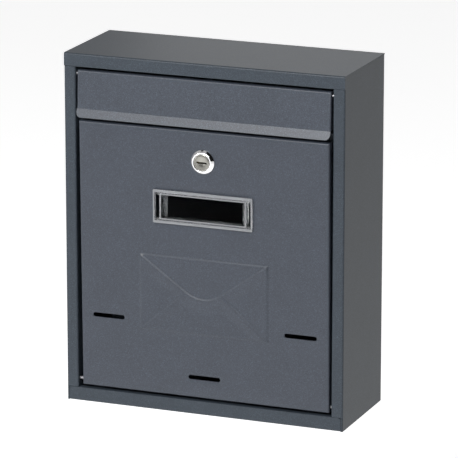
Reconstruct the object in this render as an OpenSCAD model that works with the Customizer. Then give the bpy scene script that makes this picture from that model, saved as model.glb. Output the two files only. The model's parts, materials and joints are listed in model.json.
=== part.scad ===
// Wall mounted mailbox: a folded steel case with a top-hung mail flap, a drop-down door and a cam lock.
// Millimetres. X runs to the right as seen from the front, -Y points out of the wall, +Z is up.
// The origin is the centre of the back face, which is also the centre of the four wall screw holes.

/* [Case] */
// Outside width of the case
body_w = 260; // [250:1:300]
// Outside height of the case
body_h = 315; // [310:1:360]
// Depth from the wall to the front face
body_d = 100; // [90:1:130]
// Thickness of the steel sheet
sheet = 1; // [0.8:0.1:1.2]
// Radius of a folded edge at the middle of the sheet
fold_r = 1.1; // [0.9:0.1:1.5]
// Width of the stile on each side of the front opening
stile_w = 10.7; // [9:0.1:14]
// Depth of the flange folded back behind each stile
lip_depth = 16; // [14:1:20]
// Height of the rail above the flap
top_rail_h = 11.7; // [10:0.1:16]
// Height of the rail under the door
bottom_rail_h = 12.5; // [10:0.1:16]
// Depth of the hem folded back behind each rail
hem_depth = 6.5; // [5:0.5:8]
// Width of an open seam between two sheets
seam = 0.3; // [0.2:0.1:0.6]

/* [Wall screws] */
// Distance between the screw holes from left to right
screw_x = 200; // [160:10:220]
// Distance between the screw holes from bottom to top
screw_z = 250; // [200:10:260]
// Diameter of a screw hole
screw_d = 6; // [4:0.5:8]

/* [Mail flap] */
// Width of the flap
flap_w = 235; // [225:0.5:236]
// Height of the flap's flat panel, above the crease
flap_panel_h = 34.2; // [30:0.1:40]
// Length of the lip below the crease
flap_lip = 8; // [6:0.5:10]
// Outward kick of the lip
flap_kick = 20; // [10:1:30]
// Outward lean of the closed flap
flap_lean = 2.2; // [0:0.1:3]
// Radius of the lip's lower corners
lip_corner_r = 5; // [2:0.5:7]
// Gap between the top rail and the flap
flap_gap = 2.8; // [2:0.1:4]

/* [Door] */
// Width of the door
door_w = 232.4; // [225:0.2:234]
// Height of the door
door_h = 240.9; // [235:0.1:245]
// Gap between the door and the rail under it
door_gap = 3; // [2.5:0.1:4]
// Depth of the door's folded edges
door_edge = 8.5; // [7:0.5:9]
// Side play that the closed door has taken up to the right
door_shift = 1.2; // [0:0.1:1.5]
// Outward lean of the closed door
door_lean = 0.8; // [0:0.1:1]
// Length of a viewing slot
slot_l = 30; // [20:1:40]
// Height of a viewing slot
slot_h = 4; // [3:0.5:6]

/* [Hinges] */
// Diameter of a hinge pin
pin_d = 3; // [2.5:0.1:3.5]
// Radial clearance of a hinge pin in its ear
pin_play = 0.05; // [0.02:0.01:0.1]

/* [Envelope relief] */
// Width of the embossed envelope
envelope_w = 119; // [80:1:150]
// Height of the embossed envelope
envelope_h = 67.8; // [50:0.2:80]
// Height of each of its three steps
relief_step = 0.45; // [0.3:0.05:0.8]

/* [Name plate] */
// Width of the holder's rim
plate_w = 92.6; // [80:0.2:110]
// Height of the holder's rim
plate_h = 29.8; // [25:0.2:35]
// Thickness of the rim in front of the door
plate_rim_t = 1.8; // [1.2:0.1:2.5]

/* [Lock] */
// Height of the lock above the case's bottom
lock_height = 229.6; // [225:0.1:232]
// Diameter of the bezel
bezel_d = 22; // [20:0.5:24]
// Diameter of the threaded barrel
barrel_d = 18; // [16:0.5:18]
// Distance across the barrel's two flats
barrel_flats = 16; // [15:0.5:16]
// Diameter of the plug's shank
plug_d = 12; // [11:0.5:12]
// Length of the cam from the lock's axis to its tip
cam_l = 25; // [24:0.5:26]

/* [Hidden] */

$fn = 64;
fold_steps = 8;
cut = 40;          // depth of a cutting tool that passes right through a sheet
contact = 0.1;     // gap between two pieces that are clamped together
weld = 0.3;        // gap between the shell and the flanges welded inside it
half = sheet / 2;

paint = [0.36, 0.38, 0.41];
plated = [0.82, 0.83, 0.85];
zinc = [0.62, 0.62, 0.60];
brass = [0.78, 0.66, 0.36];
clear = [0.85, 0.88, 0.90, 0.5];

// Case, heights measured from its bottom
opening_top = body_h - top_rail_h;
opening_x = body_w / 2 - stile_w;
wall_x = body_w / 2 - half;
front_y = half - body_d;
back_y = -half;
tray_x = body_w / 2 - 2;
flange_x = body_w / 2 - sheet - weld;
rear_y = -sheet - weld - half;
flange_h = 11;

// Hinge axes
flap_top = opening_top - flap_gap;
flap_pin_down = 3.7;
flap_pin_in = 4;
flap_axis = [0, flap_pin_in - body_d, flap_top - flap_pin_down - body_h / 2];
door_bottom = bottom_rail_h + door_gap;
door_pin_up = 4.5;
door_pin_in = 5;
door_axis = [0, door_pin_in - body_d, door_bottom + door_pin_up - body_h / 2];
pin_head = 1.2;
pin_clear = 0.3;
inner_head_r = 0.85 * pin_d;
outer_head_r = 0.8 * pin_d;

// Flap
flap_side_depth = 11;
flap_top_depth = 8;

// Cross rail
rail_front = -90.7;
rail_back = -83.4;
rail_bottom = 246;
rail_top = 263;
rail_lip = 9;

// Door features, from the middle of the door and from the case's bottom
slot_places = [[-90, 81.6], [90, 81.6], [0, 34]];
envelope_bottom = 73.9;
plate_middle = 186.7;
plate_hole = [89, 26.2];
plate_tray = [85.6, 23.2];
plate_wall = 1.2;
plate_tab = 4;
plate_depth = 6;
window_t = 1.2;
window_sunk = 0.4;

// Lock, lengths measured outwards from the door's face
bezel_t = 3;
bezel_bevel = 1.4;
head_r = 8.1;
head_seat = 0.9;
head_front = 2.7;
dish_r = 12;
dish_depth = 0.5;
barrel_end = -19;
turn_play = 0.05;
washer_t = 0.8;
nut_t = 4;
nut_d = 27;
stop_front = barrel_end - 0.3;
stop_t = 1;
cam_front = stop_front - stop_t;
cam_t = 2;
cam_w = 12;
cam_back = cam_front - cam_t;
screw_seat = cam_back - washer_t;
drive = 7;
lug_angle = 45;
lug_depth = 1.5;
lug_r = 6.5;
lug_w = 3.2;
lug_t = 1.4;
notch_angle = 60;
keyway = [9, 2.4];
keyway_end = -15;
wafer_first = -2;
wafer_pitch = -2.6;
wafer_count = 5;
wafer_t = 1;
wafer = [10.6, 5.2];
spring_r = 0.7;
spring_room = 6.4;
spring_slot = 1.8;
spring_l = 5;
screw_r = 2;

// ---- Helpers ----------------------------------------------------------------

function unit(v) = v / norm(v);
function left_of(v) = [-v[1], v[0]];
function turned(v, a) = [v[0] * cos(a) - v[1] * sin(a), v[0] * sin(a) + v[1] * cos(a)];
function reversed(list) = [for (i = [len(list) - 1 : -1 : 0]) list[i]];

// The line at distance d to the left of a path whose corners are rounded to radius r
function strip_side(path, r, d) =
    let (last = len(path) - 1)
    concat(
        [path[0] + d * left_of(unit(path[1] - path[0]))],
        [
            for (i = [1 : last - 1])
                let (
                    u = unit(path[i] - path[i - 1]),
                    v = unit(path[i + 1] - path[i]),
                    turn = atan2(cross(u, v), u * v),
                    side = sign(turn),
                    centre = path[i] - r * tan(abs(turn) / 2) * u + side * r * left_of(u)
                )
                for (k = [0 : fold_steps])
                    centre - (side * r - d) * turned(left_of(u), turn * k / fold_steps)
        ],
        [path[last] + d * left_of(unit(path[last] - path[last - 1]))]
    );

// Section of a folded sheet whose middle follows a path
module folded(path)
    polygon(concat(strip_side(path, fold_r, half), reversed(strip_side(path, fold_r, -half))));

// Draws with heights measured from the case's bottom
module from_bottom() translate([0, 0, -body_h / 2]) children();

// Extrudes a section drawn in Y and Z along X, centred
module along_x(length) rotate([90, 0, 90]) linear_extrude(length, center = true) children();

// Extrudes an outline drawn in X and Z outwards (towards -Y)
module outwards(depth) rotate([90, 0, 0]) linear_extrude(depth) children();

module mirrored_x() {
    children();
    mirror([1, 0, 0]) children();
}

// Cylinder along X from x0 to x1
module rod_x(r, x0, x1) translate([x0, 0, 0]) rotate([0, 90, 0]) cylinder(r = r, h = x1 - x0);

// Plan outline of a panel with its two front edges rounded, front at y = 0
module round_front(w, depth, r) {
    translate([r - w / 2, 0]) square([w - 2 * r, depth]);
    translate([-w / 2, r]) square([w, depth - r]);
    for (x = [r - w / 2, w / 2 - r]) translate([x, r]) circle(r);
}

// ---- Case -------------------------------------------------------------------

module body_shell() {
    stile_bottom = bottom_rail_h + seam / 2;
    stile_top = opening_top - seam / 2;
    lip_x = opening_x + half;
    front_path = [
        [-lip_x, lip_depth - body_d], [-lip_x, front_y], [-wall_x, front_y],
        [-wall_x, back_y], [wall_x, back_y],
        [wall_x, front_y], [lip_x, front_y], [lip_x, lip_depth - body_d]
    ];
    foot_path = [
        [-tray_x - seam / 2, front_y], [-wall_x, front_y], [-wall_x, back_y],
        [wall_x, back_y], [wall_x, front_y], [tray_x + seam / 2, front_y]
    ];
    head_y = front_y + half + contact;
    head_top = body_h - sheet - contact;
    head_path = [[-wall_x, head_y], [-wall_x, back_y], [wall_x, back_y], [wall_x, head_y]];
    color(paint) difference() {
        from_bottom() {
            linear_extrude(stile_bottom) folded(foot_path);
            translate([0, 0, stile_bottom]) linear_extrude(stile_top - stile_bottom) folded(front_path);
            translate([0, 0, stile_top]) linear_extrude(head_top - stile_top) folded(head_path);
        }
        for (x = [-1, 1], z = [-1, 1])
            translate([x * screw_x / 2, -cut / 2, z * screw_z / 2]) rotate([-90, 0, 0])
                cylinder(d = screw_d, h = cut);
        mirrored_x() {
            translate(flap_axis) rod_x(pin_d / 2, opening_x - sheet, opening_x + 2 * sheet);
            translate(door_axis) rod_x(pin_d / 2, opening_x - sheet, opening_x + 2 * sheet);
        }
    }
}

module top_cover() {
    top_z = body_h - half;
    flange_z = body_h - flange_h;
    hem_z = opening_top + half;
    color(paint) from_bottom() {
        along_x(body_w) folded([[0, top_z], [front_y, top_z], [front_y, opening_top + seam / 2]]);
        along_x(2 * flange_x)
            folded([[rear_y, flange_z], [rear_y, top_z], [rear_y - 2 * fold_r, top_z]]);
        along_x(2 * (opening_x - contact)) folded([
            [front_y, top_z - 2 * fold_r], [front_y, hem_z], [hem_depth - body_d, hem_z]
        ]);
        mirrored_x() translate([flange_x - sheet, 2 * sheet - body_d + weld, flange_z])
            cube([sheet, body_d - 4 * sheet, flange_h - half]);
    }
}

module bottom_tray() {
    hem_z = bottom_rail_h - half;
    front_w = 2 * tray_x - seam;
    front_r = 2;
    color(paint) from_bottom() {
        along_x(2 * flange_x) folded([[rear_y, flange_h], [rear_y, half], [fold_r + front_y, half]]);
        intersection() {
            along_x(front_w) folded([
                [2 * fold_r + front_y, half], [front_y, half], [front_y, bottom_rail_h - seam / 2]
            ]);
            translate([0, cut - body_d, 0]) outwards(2 * cut) {
                translate([-front_w / 2, -1]) square([front_w, bottom_rail_h - front_r + 1]);
                translate([front_r - front_w / 2, 0]) square([front_w - 2 * front_r, bottom_rail_h]);
                for (x = [front_r - front_w / 2, front_w / 2 - front_r])
                    translate([x, bottom_rail_h - seam / 2 - front_r]) circle(front_r);
            }
        }
        along_x(2 * (opening_x - contact)) folded([
            [front_y, 2 * fold_r + half], [front_y, hem_z], [hem_depth - body_d, hem_z]
        ]);
        mirrored_x() translate([flange_x - sheet, 2 * sheet - body_d + weld, half])
            cube([sheet, body_d - 4 * sheet, flange_h - half]);
    }
}

module cross_rail() {
    rail_w = 2 * (opening_x - contact);
    color(paint) from_bottom() {
        along_x(rail_w) folded([
            [rail_back - sheet, rail_top - half], [rail_front + half, rail_top - half],
            [rail_front + half, rail_bottom + half],
            [rail_back - half, rail_bottom + half], [rail_back - half, rail_bottom + rail_lip]
        ]);
        mirrored_x() translate([rail_w / 2 - sheet, rail_front + half, rail_bottom + half])
            cube([sheet, rail_back - rail_front - sheet, rail_top - rail_bottom - sheet]);
    }
}

// ---- Hinge pins -------------------------------------------------------------

// Headed pin through the case's flange and an ear whose inner face is at ear_x
module hinge_pin(ear_x) {
    lip_out = opening_x + sheet;
    color(plated) {
        rod_x(pin_d / 2, ear_x - pin_clear - pin_head, lip_out + pin_head);
        rod_x(inner_head_r, ear_x - pin_clear - pin_head, ear_x - pin_clear);
        rod_x(outer_head_r, lip_out, lip_out + pin_head);
    }
}

flap_ear = flap_w / 2 - sheet;
door_ear = door_w / 2 - sheet;

module flap_pin_right() translate(flap_axis) hinge_pin(flap_ear);
module flap_pin_left() translate(flap_axis) mirror([1, 0, 0]) hinge_pin(flap_ear);
module door_pin_right() translate(door_axis) hinge_pin(door_ear + door_shift);
module door_pin_left() translate(door_axis) mirror([1, 0, 0]) hinge_pin(door_ear - door_shift);

// ---- Mail flap --------------------------------------------------------------

// Drawn around its hinge axis, then leaned
module mail_flap() {
    face_y = half - flap_pin_in;
    top_z = flap_pin_down - half;
    crease_z = flap_pin_down - flap_panel_h;
    lip_end = [face_y - flap_lip * sin(flap_kick), crease_z - flap_lip * cos(flap_kick)];
    side_end = flap_side_depth - flap_pin_in;
    color(paint) translate(flap_axis) rotate([-flap_lean, 0, 0]) difference() {
        intersection() {
            union() {
                along_x(flap_w) folded([
                    [flap_top_depth - flap_pin_in, top_z], [face_y, top_z], [face_y, crease_z], lip_end
                ]);
                mirrored_x() translate([flap_w / 2 - half, 0, 0]) along_x(sheet) polygon([
                    [face_y, crease_z], [face_y, top_z - fold_r], [side_end - 2, top_z - fold_r],
                    [side_end, top_z - fold_r - 2], [side_end, crease_z + 2], [side_end - 2, crease_z]
                ]);
            }
            union() {
                translate([0, -flap_pin_in, crease_z - half]) linear_extrude(flap_panel_h + half)
                    round_front(flap_w, 2 * flap_side_depth, fold_r + half);
                translate([0, cut / 2, 0]) outwards(cut) {
                    r = lip_corner_r;
                    low = lip_end[1] - half * sin(flap_kick);
                    translate([r - flap_w / 2, low]) square([flap_w - 2 * r, crease_z - low]);
                    translate([-flap_w / 2, low + r]) square([flap_w, crease_z - low - r]);
                    for (x = [-1, 1]) translate([x * (flap_w / 2 - r), low + r]) circle(r);
                }
            }
        }
        rod_x(pin_d / 2 + pin_play, -flap_w, flap_w);
    }
}

// ---- Door -------------------------------------------------------------------

// Places what is drawn on an upright door with its middle at x = 0
module on_door()
    translate(door_axis) rotate([door_lean, 0, 0]) translate([door_shift, 0, 0] - door_axis) children();

// Outline of a slot with round ends
module obround(l, h) {
    square([l - h, h], center = true);
    for (x = [-1, 1]) translate([x * (l - h) / 2, 0]) circle(h / 2);
}

// The envelope's three steps, lowest first: whole sheet, below the flap, and the bottom fold
module envelope() {
    w = envelope_w / 2;
    h = envelope_h;
    seal_r = 16;
    seal_z = 0.47 * h;
    meet = [16.5, 0.55 * h];
    steps = [
        [[-w, 0], [w, 0], [w, h], [-w, h]],
        [[-w, 0], [w, 0], [w, h], meet, [seal_r * 0.5, seal_z + 1.2], [0, seal_z],
            [-seal_r * 0.5, seal_z + 1.2], [-meet[0], meet[1]], [-w, h]],
        [[-w, 0], [w, 0], meet, [seal_r * 0.5, seal_z + 1.2], [0, seal_z],
            [-seal_r * 0.5, seal_z + 1.2], [-meet[0], meet[1]]]
    ];
    for (i = [0 : 2]) outwards((i + 1) * relief_step) polygon(steps[i]);
}

module door_panel() {
    top = door_bottom + door_h;
    edge_y = door_edge - body_d;
    color(paint) on_door() from_bottom() difference() {
        union() {
            intersection() {
                union() {
                    along_x(door_w) folded([
                        [edge_y, top - half], [front_y, top - half],
                        [front_y, door_bottom + half], [edge_y, door_bottom + half]
                    ]);
                    mirrored_x() translate([door_w / 2 - half, 0, 0]) along_x(sheet) polygon([
                        [front_y, door_bottom + fold_r], [front_y, top - fold_r],
                        [edge_y, top - fold_r - half], [edge_y, door_bottom + fold_r + half]
                    ]);
                }
                translate([0, -body_d, 0]) linear_extrude(top + 1)
                    round_front(door_w, 2 * door_edge, fold_r + half);
            }
            translate([0, -body_d, envelope_bottom]) envelope();
        }
        for (place = slot_places)
            translate([place[0], cut / 2 - body_d, place[1]]) outwards(cut) obround(slot_l, slot_h);
        translate([0, cut / 2 - body_d, plate_middle]) outwards(cut) square(plate_hole, center = true);
        translate([0, cut / 2 - body_d, lock_height]) outwards(cut) intersection() {
            circle(d = barrel_d + 0.2);
            square([barrel_flats + 0.2, 2 * barrel_d], center = true);
        }
        translate([0, door_axis[1], door_bottom + door_pin_up])
            rod_x(pin_d / 2 + pin_play, -door_w, door_w);
    }
}

// ---- Name plate -------------------------------------------------------------

module at_plate() on_door() from_bottom() translate([0, -body_d, plate_middle]) children();

// Clear frame: a rim in front of the door, walls through it, two card tabs and four clips behind it
module nameplate_holder() {
    inner = plate_tray - 2 * plate_wall * [1, 1];
    back = plate_depth - plate_wall;
    clip = [8, 1.2, 3];
    clip_x = plate_tray[0] / 4;
    clip_z = plate_tray[1] / 2 + clip[2] / 2 - plate_wall / 2;
    color(clear) at_plate() {
        difference() {
            union() {
                outwards(plate_rim_t) square([plate_w, plate_h], center = true);
                translate([0, plate_depth, 0]) outwards(plate_depth + plate_rim_t)
                    square(plate_tray, center = true);
            }
            translate([0, plate_depth + 1, 0]) outwards(plate_depth + 2 * plate_rim_t)
                square(inner, center = true);
        }
        mirrored_x() translate([inner[0] / 2 - plate_tab, back, -inner[1] / 2 - plate_wall / 2])
            cube([plate_tab + plate_wall / 2, plate_wall, inner[1] + plate_wall]);
        for (x = [-clip_x, clip_x], z = [-clip_z, clip_z])
            translate([x - clip[0] / 2, sheet + contact, z - clip[2] / 2]) cube(clip);
    }
}

// Clear window that snaps into the holder's mouth
module nameplate_cover() {
    pane = plate_tray - 2 * (plate_wall + contact) * [1, 1];
    leg = 1;
    leg_x = pane[0] / 2 - leg;
    leg_l = plate_depth - plate_wall - contact + window_t / 2;
    color(clear) at_plate() {
        translate([0, window_t - plate_rim_t + window_sunk, 0]) outwards(window_t)
            square(pane, center = true);
        for (x = [-leg_x, leg_x])
            translate([x - leg / 2, -window_t / 2, -pane[1] / 2]) cube([leg, leg_l, pane[1]]);
    }
}

// ---- Lock -------------------------------------------------------------------

// Local frame of the lock: x to the right, y up, z outwards from the door's face
module at_lock()
    on_door() from_bottom() translate([0, -body_d, lock_height]) rotate([90, 0, 0]) children();

// Ring or disc between two distances from the door's face
module disc(r, from, to, bore = 0) translate([0, 0, from]) difference() {
    cylinder(r = r, h = to - from);
    if (bore > 0) translate([0, 0, -1]) cylinder(r = bore, h = to - from + 2);
}

module lock_body() {
    plug_bore = plug_d / 2 + turn_play;
    head_bore = head_r + turn_play;
    color(plated) at_lock() difference() {
        union() {
            rotate_extrude() polygon([
                [plug_bore, head_seat], [head_bore, head_seat], [head_bore, head_front],
                [head_bore + 0.3, bezel_t], [bezel_d / 2 - bezel_bevel, bezel_t],
                [bezel_d / 2, bezel_t - bezel_bevel], [bezel_d / 2, 0], [plug_bore, 0]
            ]);
            intersection() {
                disc(barrel_d / 2, barrel_end, 0.01, plug_bore);
                translate([0, 0, barrel_end / 2])
                    cube([barrel_flats, 2 * barrel_d, 1 - barrel_end], center = true);
            }
        }
        translate([0, 0, barrel_end - 1]) linear_extrude(lug_depth + 1.2)
            polygon([[0, 0], for (a = [-notch_angle, 0, notch_angle]) barrel_d * [cos(a), sin(a)]]);
    }
}

module lock_washer() color(plated) at_lock()
    disc(barrel_d / 2 + 3.2, -sheet - contact - washer_t, -sheet - contact, barrel_d / 2 + 0.1);

module lock_nut() {
    nut_front = -sheet - washer_t - 2 * contact;
    color(plated) at_lock() difference() {
        translate([0, 0, nut_front - nut_t]) cylinder(d = nut_d, h = nut_t, $fn = 6);
        translate([0, 0, nut_front - nut_t - 1]) cylinder(r = barrel_d / 2 + turn_play, h = nut_t + 2);
    }
}

// Repeats what is drawn at each wafer
module at_wafers()
    for (i = [0 : wafer_count - 1]) translate([0, 0, wafer_first + i * wafer_pitch]) children();

module lock_plug() color(plated) at_lock() difference() {
    union() {
        disc(head_r, head_seat + contact, head_front);
        disc(plug_d / 2, stop_front, head_seat + 2 * contact);
        translate([-drive / 2, -drive / 2, cam_back + contact]) cube([drive, drive, stop_front - cam_back]);
    }
    translate([-keyway[0] / 2, -keyway[1] / 2, keyway_end])
        cube([keyway[0], keyway[1], bezel_t - keyway_end]);
    at_wafers() {
        cube([2 * plug_d, wafer[1] + 0.2, wafer_t + 0.2], center = true);
        translate([-spring_room / 2, wafer[1] / 2, -spring_r - contact])
            cube([spring_room, spring_slot, 2 * (spring_r + contact)]);
    }
    translate([0, 0, screw_seat]) cylinder(r = screw_r, h = keyway_end - screw_seat - 1);
    translate([0, 0, head_front + dish_r - dish_depth]) sphere(r = dish_r);
}

// Five flat wafers in the position that the key gives them, flush with the plug
module lock_wafers() color(brass) at_lock() at_wafers() difference() {
    union() {
        translate([-wafer[0] / 2, -wafer[1] / 2, -wafer_t / 2]) cube([wafer[0], wafer[1], wafer_t]);
        translate([2, wafer[1] / 2 - 0.1, -wafer_t / 2]) cube([1, 1.7, wafer_t]);
    }
    cube([keyway[0] - 1, keyway[1], 2 * wafer_t], center = true);
}

// One small compression spring beside each wafer
module wafer_springs() color(plated) at_lock() at_wafers()
    translate([contact - spring_room / 2, (wafer[1] + spring_slot) / 2, 0]) rotate([0, 90, 0])
        difference() {
            cylinder(r = spring_r, h = spring_l);
            translate([0, 0, -1]) cylinder(r = spring_r / 2, h = spring_l + 2);
        }

// Square hole that the plug's tail drives
module drive_hole() translate([0, 0, screw_seat]) linear_extrude(3 * cam_t)
    square(drive + contact, center = true);

module cam_stop_washer() color(plated) at_lock() difference() {
    union() {
        disc(barrel_d / 2 - 0.5, cam_front, stop_front);
        rotate(lug_angle) translate([lug_r, -lug_w / 2, stop_front - contact])
            cube([lug_t, lug_w, lug_depth]);
    }
    drive_hole();
}

module lock_cam() color(zinc) at_lock() difference() {
    translate([0, 0, cam_back]) linear_extrude(cam_t - contact / 2) {
        circle(barrel_d / 2);
        polygon([
            [0, -cam_w / 2], [0, cam_w / 2], [2 - cam_l, cam_w / 2], [-cam_l, cam_w / 2 - 2],
            [-cam_l, 2 - cam_w / 2], [2 - cam_l, -cam_w / 2]
        ]);
    }
    drive_hole();
}

module cam_washer() color(plated) at_lock()
    disc(screw_r + 3.6, screw_seat, cam_back - contact / 2, screw_r + 0.2);

module cam_screw() color(plated) at_lock() difference() {
    union() {
        disc(screw_r, screw_seat - 1, keyway_end - 2);
        translate([0, 0, screw_seat - contact]) rotate([180, 0, 0]) cylinder(r1 = 3.9, r2 = 3.2, h = 2.3);
    }
    for (a = [0, 90]) rotate(a) translate([-2, -0.4, screw_seat - 4]) cube([4, 0.8, 2.7]);
}

body_shell();
top_cover();
bottom_tray();
cross_rail();
flap_pin_left();
flap_pin_right();
door_pin_left();
door_pin_right();
mail_flap();
door_panel();
nameplate_holder();
nameplate_cover();
lock_body();
lock_washer();
lock_nut();
lock_plug();
lock_wafers();
wafer_springs();
cam_stop_washer();
lock_cam();
cam_washer();
cam_screw();
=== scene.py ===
"""Wall mounted mailbox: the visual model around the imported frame.

Blender 4.5, metres. X to the right as seen from the front, -Y out of the wall, +Z up.
The case, flap, rail, pins and small lock hardware are the frame's own solids with soft edges and paint.
The door, its name plate, the lock's bezel and plug and the wafer springs are rebuilt here in more detail.
"""
import json
import math

import bpy
from mathutils import Matrix, Vector


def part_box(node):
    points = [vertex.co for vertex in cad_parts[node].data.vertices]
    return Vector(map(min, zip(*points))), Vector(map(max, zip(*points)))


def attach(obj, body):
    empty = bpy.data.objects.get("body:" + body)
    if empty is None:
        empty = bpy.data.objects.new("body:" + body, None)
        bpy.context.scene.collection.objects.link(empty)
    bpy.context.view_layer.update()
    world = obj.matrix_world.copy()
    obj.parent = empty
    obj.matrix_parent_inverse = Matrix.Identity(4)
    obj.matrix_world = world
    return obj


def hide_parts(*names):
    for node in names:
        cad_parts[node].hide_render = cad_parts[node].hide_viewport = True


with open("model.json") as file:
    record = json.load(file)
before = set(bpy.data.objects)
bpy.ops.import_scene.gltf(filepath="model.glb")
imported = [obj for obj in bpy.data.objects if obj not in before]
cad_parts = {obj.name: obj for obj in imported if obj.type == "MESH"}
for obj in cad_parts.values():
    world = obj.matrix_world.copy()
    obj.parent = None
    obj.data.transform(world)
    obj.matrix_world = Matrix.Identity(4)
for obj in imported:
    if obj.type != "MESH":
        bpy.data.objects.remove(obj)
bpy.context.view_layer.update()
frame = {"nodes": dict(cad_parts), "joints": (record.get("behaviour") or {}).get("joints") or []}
nodes = frame["nodes"]
joints = {joint["name"]: joint for joint in frame["joints"]}
MM = 0.001

# ---- Places that the frame gives ---------------------------------------------

case_low, case_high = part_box("body_shell")
front_y = case_low.y
door_pivot = Vector(joints["door_hinge"]["pos_m"])
lock_axis = Vector(joints["lock_turn"]["axis"])
door_lean = math.atan2(lock_axis.z, lock_axis.y)
door_x = joints["lock_turn"]["pos_m"][0]
# From the upright door, centred on x = 0, to the place of the closed door
to_door = (
    Matrix.Translation(door_pivot + Vector((door_x, 0, 0)))
    @ Matrix.Rotation(door_lean, 4, "X")
    @ Matrix.Translation(-door_pivot)
)


def upright_box(node):
    """Lowest and highest corner of a door node as it is on the upright, centred door."""
    back = to_door.inverted()
    corners = [back @ v.co for v in nodes[node].data.vertices]
    low = Vector(min(c[i] for c in corners) for i in range(3))
    high = Vector(max(c[i] for c in corners) for i in range(3))
    return low, high


# ---- Mesh helpers --------------------------------------------------------------

def new_object(name, verts, faces):
    """An object from plain lists."""
    mesh = bpy.data.meshes.new(name)
    mesh.from_pydata(verts, [], faces)
    mesh.validate()
    obj = bpy.data.objects.new(name, mesh)
    bpy.context.scene.collection.objects.link(obj)
    return obj


def smooth(obj, angle):
    """Smooth shading, with edges over the angle left sharp."""
    obj.data.shade_smooth()
    obj.data.set_sharp_from_angle(angle=math.radians(angle))


def bake(obj):
    """Replaces the object's mesh by the result of its modifiers."""
    graph = bpy.context.evaluated_depsgraph_get()
    mesh = bpy.data.meshes.new_from_object(obj.evaluated_get(graph))
    obj.modifiers.clear()
    obj.data = mesh


def cut(obj, cutters, operation="DIFFERENCE"):
    """Cuts each cutter out of the object, or joins it on, and removes the cutters."""
    for cutter in cutters:
        change = obj.modifiers.new("cut", "BOOLEAN")
        change.operation = operation
        change.solver = "EXACT"
        change.object = cutter
    bpy.context.view_layer.update()
    bake(obj)
    for cutter in cutters:
        bpy.data.objects.remove(cutter)


def bevel(obj, width, segments=2, angle=35):
    """Rounds the edges that are sharper than the angle."""
    soft = obj.modifiers.new("soft_edges", "BEVEL")
    soft.width = width
    soft.segments = segments
    soft.limit_method = "ANGLE"
    soft.angle_limit = math.radians(angle)
    soft.use_clamp_overlap = True


def even_normals(obj):
    """Keeps large flat faces flat in the shading, so that only the soft edges bend the light."""
    weigh = obj.modifiers.new("even_normals", "WEIGHTED_NORMAL")
    weigh.mode = "FACE_AREA"
    weigh.weight = 100
    # An area in square metres, so it has to be far below that of the smallest faces
    weigh.thresh = 1e-8
    weigh.keep_sharp = True


def arc(centre, radius, start, end, steps):
    """Points on a circle from one angle to another, in degrees, both ends included."""
    angles = [math.radians(start + (end - start) * k / steps) for k in range(steps + 1)]
    return [(centre[0] + radius * math.cos(a), centre[1] + radius * math.sin(a)) for a in angles]


def circle(radius, sides):
    """Outline of a circle around the origin."""
    return arc((0, 0), radius, 0, 360 - 360 / sides, sides - 1)


def round_rectangle(width, height, radius, steps=6):
    """Outline of a rectangle with round corners, centred, anticlockwise."""
    x, z = width / 2 - radius, height / 2 - radius
    outline = []
    for i, (sx, sz) in enumerate([(1, 1), (-1, 1), (-1, -1), (1, -1)]):
        outline += arc((sx * x, sz * z), radius, 90 * i, 90 * i + 90, steps)
    return outline


def prism(name, outline, back, front, centre=(0, 0)):
    """Solid whose outline in X and Z runs from y = back out to y = front."""
    n = len(outline)
    verts = [(x + centre[0], y, z + centre[1]) for y in (front, back) for x, z in outline]
    sides = [(i, n + i, n + (i + 1) % n, (i + 1) % n) for i in range(n)]
    return new_object(name, verts, [tuple(range(n)), tuple(range(2 * n - 1, n - 1, -1)), *sides])


def lathe(name, profile, segments=96):
    """Solid of revolution about the lock's axis.

    The profile is a list of (radius, distance out), closed by the axis or by itself.
    """
    verts, rings = [], []
    for radius, out in profile:
        if radius < 1e-9:
            rings.append([len(verts)] * segments)
            verts.append((0, -out, 0))
        else:
            rings.append([len(verts) + k for k in range(segments)])
            turns = [math.tau * k / segments for k in range(segments)]
            verts += [(radius * math.cos(a), -out, radius * math.sin(a)) for a in turns]
    closed = profile[0][0] > 1e-9
    pairs = list(zip(rings, rings[1:])) + ([(rings[-1], rings[0])] if closed else [])
    faces = []
    for a, b in pairs:
        for k in range(segments):
            ring = [a[k], a[(k + 1) % segments], b[(k + 1) % segments], b[k]]
            face = [v for i, v in enumerate(ring) if v not in ring[:i]]
            if len(face) > 2:
                faces.append(face)
    return new_object(name, verts, faces)


def block(name, low, high):
    """Box between two corners, as a cutter or as a part of a larger piece."""
    outline = [(low[0], low[2]), (high[0], low[2]), (high[0], high[2]), (low[0], high[2])]
    return prism(name, outline, high[1], low[1])


def centred(name, width, height, back, front, centre=(0, 0)):
    """Box by its size in X and Z and its two Y places."""
    x, z = centre
    low, high = (x - width / 2, front, z - height / 2), (x + width / 2, back, z + height / 2)
    return block(name, low, high)


def finish(obj, material, node, body, place=to_door):
    """Paints a piece, puts it in its place, hangs it on its body and hides the frame's node that it
    stands in for.
    """
    obj.data.materials.clear()
    obj.data.materials.append(material)
    obj.data.transform(place)
    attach(obj, body)
    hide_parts(node)


# ---- Materials -----------------------------------------------------------------

def node_material(name):
    """A new material, its Principled shader, and functions that add and link its nodes."""
    material = bpy.data.materials.new(name)
    material.use_nodes = True
    tree = material.node_tree
    shader = tree.nodes["Principled BSDF"]

    def add(kind, **settings):
        node = tree.nodes.new(kind)
        for key, value in settings.items():
            if key in node.inputs:
                node.inputs[key].default_value = value
            else:
                setattr(node, key, value)
        return node

    return material, shader, add, tree.links.new


def two_tones(add, link, value, dark, light, start=0.0, end=1.0):
    """Turns a value into a colour: dark up to the start, light from the end on."""
    tone = add("ShaderNodeValToRGB")
    stops = [(start, dark), (end, light)]
    for element, (place, colour) in zip(tone.color_ramp.elements, stops):
        element.position = place
        element.color = (*colour, 1)
    link(value, tone.inputs["Fac"])
    return tone.outputs["Color"]


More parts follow.
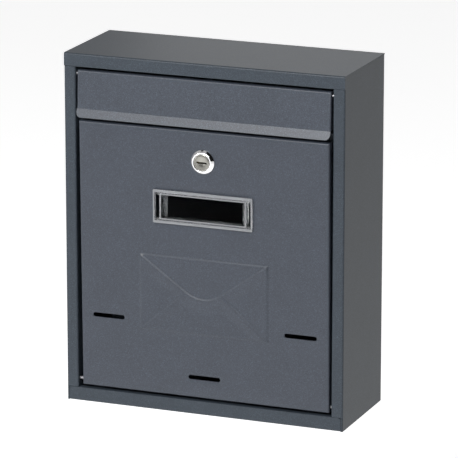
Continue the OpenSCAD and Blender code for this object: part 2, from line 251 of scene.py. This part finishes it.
def in_range(add, link, value, low, high, start=0.0, end=1.0):
    """Maps a value that runs from start to end onto low to high."""
    scale = add("ShaderNodeMapRange")
    limits = {"From Min": start, "From Max": end, "To Min": low, "To Max": high}
    for socket, limit in limits.items():
        scale.inputs[socket].default_value = limit
    link(value, scale.inputs["Value"])
    return scale.outputs["Result"]


def pebbled(add, link, shader, value, strength, depth):
    """Gives the shader small bumps that follow a value."""
    skin = add("ShaderNodeBump", Strength=strength, Distance=depth)
    link(value, skin.inputs["Height"])
    link(skin.outputs["Normal"], shader.inputs["Normal"])


def powder_coat(name, dark, light, roughness, specular):
    """Anthracite powder coat: a fine two-tone grain, tiny brighter flakes and a pebbled skin."""
    material, shader, add, link = node_material(name)
    place = add("ShaderNodeTexCoord")
    grain = add("ShaderNodeTexNoise", Scale=1500.0, Detail=3.0, Roughness=0.6)
    cloud = add("ShaderNodeTexNoise", Scale=35.0, Detail=2.0, Roughness=0.5)
    flakes = add("ShaderNodeTexVoronoi", Scale=1900.0)
    for texture in (grain, cloud, flakes):
        link(place.outputs["Object"], texture.inputs["Vector"])
    value = grain.outputs["Fac"]
    # The cloud makes the tone up to 5 per cent darker or lighter
    varied = add("ShaderNodeVectorMath", operation="SCALE")
    link(two_tones(add, link, value, dark, light, 0.34, 0.66), varied.inputs[0])
    link(in_range(add, link, cloud.outputs["Fac"], 0.95, 1.05, 0.3, 0.7), varied.inputs["Scale"])
    # Each cell has a value of its own, and the top three tenths of them show as flakes
    lone = add("ShaderNodeSeparateColor")
    link(flakes.outputs["Color"], lone.inputs["Color"])
    flaked = add("ShaderNodeMix", data_type="RGBA")
    flaked.inputs["B"].default_value = (*[c * 2.0 for c in light], 1)
    link(in_range(add, link, lone.outputs["Red"], 0.0, 0.5, 0.7, 1.0), flaked.inputs["Factor"])
    link(varied.outputs["Vector"], flaked.inputs["A"])
    link(flaked.outputs["Result"], shader.inputs["Base Color"])
    gloss = in_range(add, link, value, roughness - 0.07, roughness + 0.07)
    link(gloss, shader.inputs["Roughness"])
    pebbled(add, link, shader, value, 0.35, 0.00006)
    shader.inputs["Metallic"].default_value = 0.0
    shader.inputs["Specular IOR Level"].default_value = specular
    return material


def metal(name, colour, roughness, grain_scale, stretch=(1, 1, 1), bump=0.1, contrast=0.08):
    """Bare or plated metal: slight tone and gloss changes along its grain."""
    material, shader, add, link = node_material(name)
    place = add("ShaderNodeTexCoord")
    along = add("ShaderNodeMapping", Scale=stretch)
    link(place.outputs["Object"], along.inputs["Vector"])
    grain = add("ShaderNodeTexNoise", Scale=grain_scale, Detail=3.0, Roughness=0.6)
    link(along.outputs["Vector"], grain.inputs["Vector"])
    value = grain.outputs["Fac"]
    dark = [c * (1 - contrast) for c in colour]
    light = [min(1, c * (1 + contrast)) for c in colour]
    link(two_tones(add, link, value, dark, light, 0.3, 0.7), shader.inputs["Base Color"])
    gloss = in_range(add, link, value, max(0.02, roughness * 0.8), roughness * 1.2)
    link(gloss, shader.inputs["Roughness"])
    pebbled(add, link, shader, value, bump, 0.00002)
    shader.inputs["Metallic"].default_value = 1.0
    return material


def clear_plastic(name, tint, roughness, transmission, specular, ior):
    """Clear moulded plastic with faint flow marks in its tint and its gloss."""
    material, shader, add, link = node_material(name)
    place = add("ShaderNodeTexCoord")
    flow = add("ShaderNodeTexNoise", Scale=160.0, Detail=2.0, Roughness=0.5)
    link(place.outputs["Object"], flow.inputs["Vector"])
    value = flow.outputs["Fac"]
    dark = [c * 0.94 for c in tint]
    link(two_tones(add, link, value, dark, tint), shader.inputs["Base Color"])
    gloss = in_range(add, link, value, roughness * 0.6, roughness * 1.4)
    link(gloss, shader.inputs["Roughness"])
    shader.inputs["Transmission Weight"].default_value = transmission
    shader.inputs["Specular IOR Level"].default_value = specular
    shader.inputs["IOR"].default_value = ior
    return material


# One anthracite coat made three times, with tone and gloss set for the light on each part: painted light
# on the flap and door, painted shade on the case's side
case_paint = powder_coat("case_paint", (0.0135, 0.0185, 0.0245), (0.0280, 0.0350, 0.0440), 0.42, 0.22)
flap_paint = powder_coat("flap_paint", (0.0155, 0.0195, 0.0265), (0.0305, 0.0365, 0.0485), 0.42, 0.35)
door_paint = powder_coat("door_paint", (0.0155, 0.0195, 0.0270), (0.0265, 0.0319, 0.0432), 0.42, 0.35)
pin_steel = metal("hinge_pin", (0.24, 0.24, 0.25), 0.38, 900.0)
zinc_plate = metal("zinc_plate", (0.62, 0.63, 0.62), 0.30, 500.0, contrast=0.12)
lock_chrome = metal("lock_chrome", (0.72, 0.72, 0.73), 0.05, 700.0, bump=0.02, contrast=0.02)
plug_nickel = metal("plug_nickel", (0.24, 0.235, 0.215), 0.17, 900.0, stretch=(1, 1, 6), bump=0.15)
wafer_brass = metal("wafer_brass", (0.75, 0.58, 0.28), 0.30, 900.0)
spring_steel = metal("spring_steel", (0.58, 0.58, 0.58), 0.25, 1500.0)
holder_plastic = clear_plastic("holder_plastic", (0.80, 0.82, 0.84), 0.08, 0.94, 0.3, 1.3)
# The rim's half milky grey plastic is a painted highlight: it stands in for the bright glints on the
# rim's edges
rim_plastic_painted_highlight = clear_plastic("rim_plastic_painted_highlight", (0.33, 0.34, 0.36), 0.20, 0.60, 0.5, 1.45)
window_plastic = clear_plastic("window_plastic", (0.95, 0.96, 0.97), 0.03, 1.0, 0.2, 1.05)

# ---- Case, flap and hardware: the frame's own solids ----------------------------

# Each node's material, and the radius of its soft edges in millimetres
FINISHES = {
    "body_shell": (case_paint, 0.22),
    "top_cover": (case_paint, 0.22),
    "bottom_tray": (case_paint, 0.22),
    "mail_flap": (flap_paint, 0.22),
    "cross_rail": (case_paint, 0.15),
    "flap_pin_left": (pin_steel, 0.25),
    "flap_pin_right": (pin_steel, 0.25),
    "door_pin_left": (pin_steel, 0.25),
    "door_pin_right": (pin_steel, 0.25),
    "lock_washer": (zinc_plate, 0.12),
    "lock_nut": (zinc_plate, 0.35),
    "lock_wafers": (wafer_brass, 0.08),
    "cam_stop_washer": (zinc_plate, 0.12),
    "lock_cam": (zinc_plate, 0.25),
    "cam_washer": (zinc_plate, 0.12),
    "cam_screw": (zinc_plate, 0.15),
}


def soften_node(node, material, width):
    """Gives one of the frame's solids its paint and a small radius on every sharp edge."""
    obj = nodes[node]
    obj.data.materials.clear()
    obj.data.materials.append(material)
    weld = obj.modifiers.new("weld", "WELD")
    weld.merge_threshold = 0.002 * MM
    flat = obj.modifiers.new("flat", "DECIMATE")
    flat.decimate_type = "DISSOLVE"
    flat.angle_limit = math.radians(0.5)
    bevel(obj, width * MM, 3)
    even_normals(obj)
    obj.data.shade_smooth()


for node_name, (paint, edge) in FINISHES.items():
    soften_node(node_name, paint, edge)

# ---- Door ------------------------------------------------------------------------

# The sheet's thickness, the outer radius of its folds and the depth of the door's edges
sheet = 1.0 * MM
fold = 1.6 * MM
door_edge = 8.5 * MM
door_low, door_high = upright_box("door_panel")

# The embossed envelope: its size and place, and the heights of its sheet and of the folds on it
envelope_w = 119 * MM
envelope_h = 67.8 * MM
envelope_bottom = case_low.z + 73.9 * MM
sheet_step, fold_step = 0.68 * MM, 0.95 * MM

# The flap's edges meet in a round bow: its lowest point, and where the straight edges end
seal_z = 0.47 * envelope_h
meet_x, meet_z = 16.5 * MM, 0.55 * envelope_h

# The width of a step's rise, and the way over which a fold's step sinks back
relief_soft = 1.8 * MM
relief_fade = 10 * MM


def ramp(distance):
    """Smooth rise from 0 to 1 across an outline, half of its width on either side."""
    t = min(1.0, max(0.0, distance / relief_soft + 0.5))
    return t * t * (3 - 2 * t)


def shelf(distance):
    """A ramp that sinks back to nothing slowly, so that only its rise shows as a line."""
    return ramp(distance) * min(1.0, max(0.0, 1 - distance / relief_fade))


def envelope_relief(x, z):
    """How far the embossed envelope stands proud at a place of the door.

    The sheet comes first, then the edges of the flap and of the bottom fold on top of it.
    """
    half, u = envelope_w / 2, abs(x)
    v = z - envelope_bottom
    if u > half + relief_soft or not -relief_soft < v < envelope_h + relief_soft:
        return 0.0
    slope = (envelope_h - meet_z) / (half - meet_x)
    lean = math.hypot(1, slope)
    line = meet_z + (u - meet_x) * slope
    if u < meet_x:
        line = seal_z + (meet_z - seal_z) * (u / meet_x) ** 2
    sheet_part = ramp(min(half - u, v, envelope_h - v))
    flap_part = shelf((line - v) / lean)
    fold_line = meet_z * (half - u) / (half - meet_x)
    bottom_part = shelf((min(fold_line, line) - v) / lean)
    return sheet_part * (sheet_step + fold_step * max(flap_part, bottom_part))


def spread(start, end, pitch):
    """Evenly spaced places from start to end, ends included, no further apart than pitch."""
    steps = max(1, math.ceil((end - start) / pitch))
    return [start + (end - start) * k / steps for k in range(steps + 1)]


def fold_lines(low, high, between, offset, steps=6):
    """Grid lines across a pan as (place, depth): round fold, the flat's lines, round fold.

    The offset is 0 for the outer face and the sheet's thickness for the inner one.
    """
    r = fold - offset
    turns = [math.radians(90 * (1 - k / steps)) for k in range(steps + 1)]
    first = [(low + fold - r * math.sin(a), fold - r * math.cos(a)) for a in turns]
    last = [(high - fold + r * math.sin(a), fold - r * math.cos(a)) for a in reversed(turns)]
    return first + [(p, offset) for p in between] + last


def pan(name, low_x, high_x, low_z, high_z, edge, lines_x, lines_z, relief):
    """A sheet metal pan: a front face with four round folds and the edges behind them."""
    verts, faces = [], []
    grids = []
    for wall in (0.0, sheet):
        across = fold_lines(low_x, high_x, lines_x, wall)
        up = fold_lines(low_z, high_z, lines_z, wall)
        grid = []
        for z, depth_z in up:
            row = []
            for x, depth_x in across:
                row.append(len(verts))
                verts.append((x, front_y + max(depth_x, depth_z) - relief(x, z), z))
            grid.append(row)
        grids.append(grid)
    outer, inner = grids
    rows, columns = len(outer), len(outer[0])
    for j in range(rows - 1):
        for i in range(columns - 1):
            a, b, c, d = outer[j][i], outer[j][i + 1], outer[j + 1][i + 1], outer[j + 1][i]
            faces.append((a, b, c, d))
            a, b, c, d = inner[j][i], inner[j][i + 1], inner[j + 1][i + 1], inner[j + 1][i]
            faces.append((a, d, c, b))
    rim = [(0, i) for i in range(columns)] + [(j, columns - 1) for j in range(1, rows)]
    rim += [(rows - 1, i) for i in range(columns - 2, -1, -1)] + [(j, 0) for j in range(rows - 2, 0, -1)]
    loops = []
    for grid in (outer, inner):
        near = [grid[j][i] for j, i in rim]
        far = []
        for v in near:
            far.append(len(verts))
            verts.append((verts[v][0], front_y + edge, verts[v][2]))
        loops.append((near, far))
    (outer_near, outer_far), (inner_near, inner_far) = loops
    n = len(rim)
    for k in range(n):
        m = (k + 1) % n
        faces.append((outer_near[m], outer_near[k], outer_far[k], outer_far[m]))
        faces.append((inner_near[k], inner_near[m], inner_far[m], inner_far[k]))
        faces.append((outer_far[m], outer_far[k], inner_far[k], inner_far[m]))
    return new_object(name, verts, faces)


def obround(length, height, steps=12):
    """Outline of a slot with round ends."""
    r = height / 2
    return arc((length / 2 - r, 0), r, -90, 90, steps) + arc((r - length / 2, 0), r, 90, 270, steps)


# The door's slots: their size, and their places from the case's middle and bottom
door_slot = (30 * MM, 4 * MM)
slot_places = [(-90 * MM, 81.6 * MM), (90 * MM, 81.6 * MM), (0, 34 * MM)]

# The other openings: the name plate's, the lock's and the hinge pins', and the corners' radii
plate_low, plate_high = upright_box("nameplate_holder")
plate_z = (plate_low.z + plate_high.z) / 2
plate_hole = (89 * MM, 26.2 * MM)
plate_corner = 0.8 * MM
mouth_corner = 0.4 * MM
lock_z = (to_door.inverted() @ Vector(joints["lock_turn"]["pos_m"])).z
lock_hole_r = 9.1 * MM
pin_hole_r = 1.55 * MM


def make_door():
    """Sheet metal pan with the embossed envelope and all its openings."""
    coarse, fine = 12 * MM, 0.8 * MM
    side = envelope_w / 2 + relief_soft
    lines_x = spread(door_low.x + fold, -side, coarse)[1:-1]
    lines_x += spread(-side, side, fine)
    lines_x += spread(side, door_high.x - fold, coarse)[1:-1]
    bottom, top = envelope_bottom - relief_soft, envelope_bottom + envelope_h + relief_soft
    lines_z = spread(door_low.z + fold, bottom, coarse)[1:-1]
    lines_z += spread(bottom, top, fine)
    lines_z += spread(top, door_high.z - fold, coarse)[1:-1]
    door = pan(
        "door_skin", door_low.x, door_high.x, door_low.z, door_high.z, door_edge,
        lines_x, lines_z, envelope_relief,
    )
    back, front = front_y + 5 * MM, front_y - 5 * MM
    slot = obround(*door_slot)
    cutters = [prism("slot", slot, back, front, (x, case_low.z + z)) for x, z in slot_places]
    window = round_rectangle(*plate_hole, plate_corner)
    cutters.append(prism("window", window, back, front, (0, plate_z)))
    cutters.append(prism("lock_hole", circle(lock_hole_r, 48), back, front, (0, lock_z)))
    reach = 130 * MM
    pin_hole = prism("pin_hole", circle(pin_hole_r, 24), reach, -reach)
    across = Matrix.Rotation(math.pi / 2, 4, "Z")
    pin_hole.data.transform(Matrix.Translation((0, door_pivot.y, door_pivot.z)) @ across)
    cutters.append(pin_hole)
    cut(door, cutters)
    bevel(door, 0.2 * MM)
    bake(door)
    smooth(door, 40)
    finish(door, door_paint, "door_panel", "door")


make_door()

# ---- Name plate ------------------------------------------------------------------

# The rim's outer size, its thickness and the widths of its sides and of its top and bottom
plate_w, plate_h = 92.6 * MM, 29.8 * MM
rim_t = 1.8 * MM
rim_side, rim_band = 1.4 * MM, 2.4 * MM

# The walls behind the rim, which the flange joins to it, and the two tabs that hold the card
tray_w, tray_h = 80.4 * MM, 23.2 * MM
tray_wall = 1.2 * MM
tray_depth = 6.0 * MM
inner_w, inner_h = tray_w - 2 * tray_wall, tray_h - 2 * tray_wall
flange_t = 0.7 * MM
tab_w = 4.0 * MM

at_plate = to_door @ Matrix.Translation((0, front_y, plate_z))


def ring(name, outer, inner, back, front):
    """Rectangular frame between two Y places, from its outer and inner width and height."""
    frame_ring = prism(name, round_rectangle(*outer, plate_corner, 4), back, front)
    hole = prism("hole", round_rectangle(*inner, mouth_corner, 4), back + MM, front - MM)
    cut(frame_ring, [hole])
    return frame_ring


def make_holder():
    """Clear frame: raised rim, slotted flange, deep walls, card tabs, and clips behind the sheet."""
    mouth = (plate_w - 2 * rim_side, plate_h - 2 * rim_band)
    rim = ring("nameplate_frame", (plate_w, plate_h), mouth, 0, -rim_t)
    flange_size = (plate_w - rim_side, plate_h - rim_band)
    flange = ring("flange", flange_size, (inner_w, inner_h), 0, -flange_t)
    gap_w, gap_x = 3.6 * MM, tray_w / 2 + 2.3 * MM
    gaps = [centred("slot", gap_w, inner_h, MM, -MM, (side * gap_x, 0)) for side in (-1, 1)]
    cut(flange, gaps)
    wall_front = -1.3 * MM
    walls = ring("walls", (tray_w, tray_h), (inner_w, inner_h), tray_depth, wall_front)
    parts = [flange, walls]
    edge, top, corner = inner_w / 2 + tray_wall / 2, inner_h / 2, 2.6 * MM
    reach = inner_w / 2 - tab_w
    clip_w, clip_h, clip_z = 8 * MM, 3 * MM, tray_h / 2 + 0.9 * MM
    clip_front, clip_back = 1.1 * MM, 2.3 * MM
    for side in (-1, 1):
        outline = [(edge, -top), (edge, top), (reach + corner / 2, top), (reach, top - corner)]
        outline += [(reach, corner - top), (reach + corner / 2, -top)]
        outline = [(side * x, z) for x, z in outline]
        if side > 0:
            outline.reverse()
        parts.append(prism("tab", outline, tray_depth, tray_depth - tray_wall))
        for up in (-1, 1):
            place = (side * tray_w / 4, up * clip_z)
            parts.append(centred("clip", clip_w, clip_h, clip_back, clip_front, place))
    cut(rim, parts, "UNION")
    bevel(rim, 0.25 * MM)
    bake(rim)
    smooth(rim, 40)
    # What stands in front of the flange gets a half milky grey plastic, a painted highlight in place of
    # the glints on the rim's edges
    flange_front = -flange_t - 0.02 * MM
    in_front = [face.index for face in rim.data.polygons if face.center.y < flange_front]
    finish(rim, holder_plastic, "nameplate_holder", "door", at_plate)
    rim.data.materials.append(rim_plastic_painted_highlight)
    for index in in_front:
        rim.data.polygons[index].material_index = 1


def make_window():
    """Clear pane in the frame's mouth, with a leg at each end that reaches back to the tab."""
    slack = 0.2 * MM
    pane_w, pane_h = inner_w - slack, inner_h - slack
    pane_back, pane_front = -0.2 * MM, -1.4 * MM
    outline = round_rectangle(pane_w, pane_h, mouth_corner, 4)
    pane = prism("nameplate_window", outline, pane_back, pane_front)
    leg_front, leg_end = -0.6 * MM, tray_depth - tray_wall - 0.1 * MM
    leg_x = pane_w / 2 - MM
    legs = [centred("leg", MM, pane_h, leg_end, leg_front, (side * leg_x, 0)) for side in (-1, 1)]
    cut(pane, legs, "UNION")
    bevel(pane, 0.12 * MM)
    bake(pane)
    smooth(pane, 10)
    finish(pane, window_plastic, "nameplate_cover", "door", at_plate)


make_holder()
make_window()

# ---- Lock --------------------------------------------------------------------------
# Made around the origin, with distances out of the door's face towards -Y

at_lock = to_door @ Matrix.Translation((0, front_y, lock_z))
barrel_r = 9.0 * MM
barrel_end = -19.0 * MM
plug_r = 6.0 * MM
# Distances of the five wafers, negative because they lie behind the door's face
wafer_places = [(-2.0 - 2.6 * i) * MM for i in range(5)]


def make_lock_body():
    """Polished bezel with a round shoulder, and a threaded barrel with two flats and a stop notch."""
    # In millimetres, from the bezel's bore over its shoulder to the door's face
    bezel = [(7.65, 0.9), (7.65, 2.6), (7.72, 2.78), (7.9, 2.88), (8.5, 2.93), (8.75, 2.85)]
    bezel += [(10.75, 0.95), (10.93, 0.72), (11.0, 0.45), (11.0, 0.1), (10.9, 0.0), (9.0, 0.0)]
    profile = [(r * MM, out * MM) for r, out in bezel]
    pitch, depth = 1.0 * MM, 0.4 * MM
    thread = -2.4 * MM
    profile.append((barrel_r, thread))
    while thread > barrel_end + 1.5 * pitch:
        profile += [(barrel_r - depth, thread - pitch / 2), (barrel_r, thread - pitch)]
        thread -= pitch
    chamfer = 0.3 * MM
    bore, bore_end = plug_r + 0.05 * MM, 0.9 * MM
    profile += [(barrel_r, barrel_end + chamfer), (barrel_r - chamfer, barrel_end)]
    profile += [(bore, barrel_end), (bore, bore_end)]
    body = lathe("lock_bezel_and_barrel", profile)
    flat_x, far = 8.0 * MM, 20 * MM
    flat_start, flat_end = 0.02 * MM, 30 * MM
    cutters = [
        block("flat", (low_x, flat_start, -far), (high_x, flat_end, far))
        for low_x, high_x in [(flat_x, far), (-far, -flat_x)]
    ]
    notch_depth = 1.7 * MM
    sweep = [(0.0, 0.0)] + arc((0, 0), 12 * MM, -60, 60, 8)
    cutters.append(prism("notch", sweep, -barrel_end + MM, -barrel_end - notch_depth))
    cut(body, cutters)
    smooth(body, 38)
    finish(body, lock_chrome, "lock_body", "door", at_lock)


def make_plug():
    """Turning plug: dished face with a ring groove, keyway, wafer slots and square tail for the cam."""
    # In millimetres: the dished face with its rings, then the shank to its end
    dish = [(3.4 * k / 6, 2.2 + 0.5 * (k / 6) ** 2) for k in range(6)]
    face = dish + [(3.4, 2.66), (3.8, 2.72), (5.9, 2.72), (6.05, 2.6), (6.25, 2.6), (6.4, 2.72)]
    face += [(7.1, 2.7), (7.35, 2.5), (7.35, 1.0), (6.0, 1.0), (6.0, -19.3), (0.0, -19.3)]
    plug = lathe("lock_turning_plug", [(r * MM, out * MM) for r, out in face])
    tail_w, tail_start, tail_end = 7 * MM, 19.0 * MM, 22.25 * MM
    tail = centred("tail", tail_w, tail_w, tail_end, tail_start)
    cut(plug, [tail], "UNION")
    # In millimetres: a narrow slot with one step in each of its long edges
    keyway = [(-4.7, -0.55), (-3.2, -0.55), (-3.2, -0.9), (4.7, -0.9), (4.7, 0.55), (-2.2, 0.55)]
    keyway += [(-2.2, 0.9), (-4.7, 0.9)]
    keyway_depth, in_front = 15 * MM, -4 * MM
    outline = [(x * MM, z * MM) for x, z in keyway]
    cutters = [prism("keyway", outline, keyway_depth, in_front)]
    slot_w, slot_h = 24 * MM, 5.4 * MM
    room_w, room_h, room_z = 6.4 * MM, 2.2 * MM, 3.4 * MM
    for out in wafer_places:
        slot_back, slot_front = -out + 0.6 * MM, -out - 0.6 * MM
        cutters.append(centred("slot", slot_w, slot_h, slot_back, slot_front))
        room_back, room_front = -out + 0.8 * MM, -out - 0.8 * MM
        room = centred("spring_room", room_w, room_h, room_back, room_front, (0, room_z))
        cutters.append(room)
    screw_r, screw_start, past_tail = 2 * MM, 16.2 * MM, 24 * MM
    cutters.append(prism("screw_hole", circle(screw_r, 24), past_tail, screw_start))
    cut(plug, cutters)
    bevel(plug, 0.06 * MM, 2, 50)
    bake(plug)
    smooth(plug, 38)
    finish(plug, plug_nickel, "lock_plug", "lock", at_lock)


def make_wafer_springs():
    """A small coil spring beside each wafer, with its wire at true size."""
    coil_r, wire_r, length, turns = 0.55 * MM, 0.14 * MM, 5.0 * MM, 8
    middle_x, middle_z = -0.6 * MM, 3.5 * MM
    around, sides = 14, 7
    verts, faces = [], []
    for out in wafer_places:
        start = len(verts)
        steps = turns * around
        for k in range(steps + 1):
            a = math.tau * k / around
            x = (k / steps - 0.5) * (length - 2 * wire_r) + middle_x
            radial = Vector((0, math.cos(a), math.sin(a)))
            centre = Vector((x, -out, middle_z)) + coil_r * radial
            for j in range(sides):
                b = math.tau * j / sides
                way = math.cos(b) * radial + math.sin(b) * Vector((1, 0, 0))
                verts.append(centre + wire_r * way)
        for k in range(steps):
            for j in range(sides):
                i, n = start + k * sides, (j + 1) % sides
                faces.append((i + j, i + sides + j, i + sides + n, i + n))
        faces.append(tuple(start + j for j in range(sides)))
        faces.append(tuple(start + steps * sides + j for j in reversed(range(sides))))
    springs = new_object("wafer_coil_springs", verts, faces)
    smooth(springs, 60)
    finish(springs, spring_steel, "wafer_springs", "lock", at_lock)


make_lock_body()
make_plug()
make_wafer_springs()

# ---- Floor, light and camera -------------------------------------------------------

# The floor: how far it lies below the case, half its side in metres, and the light it gives off
floor_drop = 0.30
floor_half = 30
floor_glow = 0.55
target = Vector((0, (case_low.y + case_high.y) / 2, 0))


def direction(azimuth, elevation):
    """Unit vector from the case towards a place, by azimuth and elevation in degrees.

    They are counted as the camera's are: azimuth 0 is the front, and it grows to the right.
    """
    a, e = math.radians(azimuth), math.radians(elevation)
    return Vector((math.sin(a) * math.cos(e), -math.cos(a) * math.cos(e), math.sin(e)))


def floor_paint():
    """Pale matt floor with a barely uneven tone."""
    material, shader, add, link = node_material("floor")
    place = add("ShaderNodeTexCoord")
    cloud = add("ShaderNodeTexNoise", Scale=0.6)
    link(place.outputs["Object"], cloud.inputs["Vector"])
    tone = two_tones(add, link, cloud.outputs["Fac"], (0.93, 0.93, 0.93), (0.96, 0.96, 0.96))
    link(tone, shader.inputs["Base Color"])
    shader.inputs["Roughness"].default_value = 0.9
    shader.inputs["Specular IOR Level"].default_value = 0.0
    shader.inputs["Emission Color"].default_value = (1, 1, 1, 1)
    shader.inputs["Emission Strength"].default_value = floor_glow
    return material


floor_z = case_low.z - floor_drop
corners = [(-floor_half, -floor_half), (floor_half, -floor_half)]
corners += [(floor_half, floor_half), (-floor_half, floor_half)]
floor = new_object("floor", [(x, y, floor_z) for x, y in corners], [(0, 1, 2, 3)])
floor.data.materials.append(floor_paint())

# Brightness of the white surround, and what is left of it in its dark places
world_level = 0.53
dark_level = 0.02

# The surround's dark places: their middle, and how many degrees from it they begin and end to fade
DARK_PLACES = [(direction(85, 20), 58, 66), (direction(-54, 64), 7, 10)]


def studio():
    """An even white surround, with a dark wing on the right and a dark boom for the chrome."""
    world = bpy.data.worlds.new("studio")
    bpy.context.scene.world = world
    world.use_nodes = True
    nodes_of = world.node_tree.nodes
    link = world.node_tree.links.new
    place = nodes_of.new("ShaderNodeTexCoord")
    colour = None
    for centre, reach, fade in DARK_PLACES:
        towards = nodes_of.new("ShaderNodeVectorMath")
        towards.operation = "DOT_PRODUCT"
        towards.inputs[1].default_value = centre
        edge = nodes_of.new("ShaderNodeMapRange")
        edge.interpolation_type = "SMOOTHSTEP"
        edge.inputs["From Min"].default_value = math.cos(math.radians(fade))
        edge.inputs["From Max"].default_value = math.cos(math.radians(reach))
        level = nodes_of.new("ShaderNodeMix")
        level.data_type = "RGBA"
        level.inputs["A"].default_value = (1, 1, 1, 1)
        level.inputs["B"].default_value = (dark_level, dark_level, dark_level, 1)
        link(place.outputs["Generated"], towards.inputs[0])
        link(towards.outputs["Value"], edge.inputs["Value"])
        link(edge.outputs["Result"], level.inputs["Factor"])
        if colour:
            link(colour, level.inputs["A"])
        colour = level.outputs["Result"]
    link(colour, nodes_of["Background"].inputs["Color"])
    nodes_of["Background"].inputs["Strength"].default_value = world_level


studio()
bpy.context.scene.view_settings.view_transform = "Standard"

# Name, azimuth and elevation in degrees, distance, width and height in metres, power in watts
SOFTBOXES = [
    ("strip", -13, 34, 1.9, 2.8, 0.45, 30.0),
    ("lip_right", -4, 35, 1.9, 0.45, 0.45, 27.0),
    ("left_low", -50, 5, 1.8, 0.9, 0.9, 4.5),
    ("top_sheen", 195, 28, 0.8, 0.36, 0.25, 0.26),
]


def softbox(name, azimuth, elevation, distance, width, height, power):
    """A rectangular soft light that looks at the case, placed by its direction."""
    lamp = bpy.data.lights.new(name, "AREA")
    lamp.shape = "RECTANGLE"
    lamp.size = width
    lamp.size_y = height
    lamp.energy = power
    obj = bpy.data.objects.new(name, lamp)
    away = direction(azimuth, elevation)
    obj.location = target + distance * away
    obj.rotation_euler = (-away).to_track_quat("-Z", "Y").to_euler()
    bpy.context.scene.collection.objects.link(obj)


for row in SOFTBOXES:
    softbox(*row)

# The camera stands at the photograph's angle and looks at a point close to the case's middle
camera_azimuth = 21.70
camera_elevation = 15.02
camera_distance = 3.4486
lens_mm = 308.8
aim = target + Vector((3.96, 1.35, -0.78)) * MM
camera_way = direction(camera_azimuth, camera_elevation)
camera_data = bpy.data.cameras.new("camera")
camera_data.lens = lens_mm
camera_data.sensor_width = 36
camera = bpy.data.objects.new("camera", camera_data)
camera.location = aim + camera_distance * camera_way
camera.rotation_euler = (-camera_way).to_track_quat("-Z", "Y").to_euler()
bpy.context.scene.collection.objects.link(camera)
bpy.context.scene.camera = camera
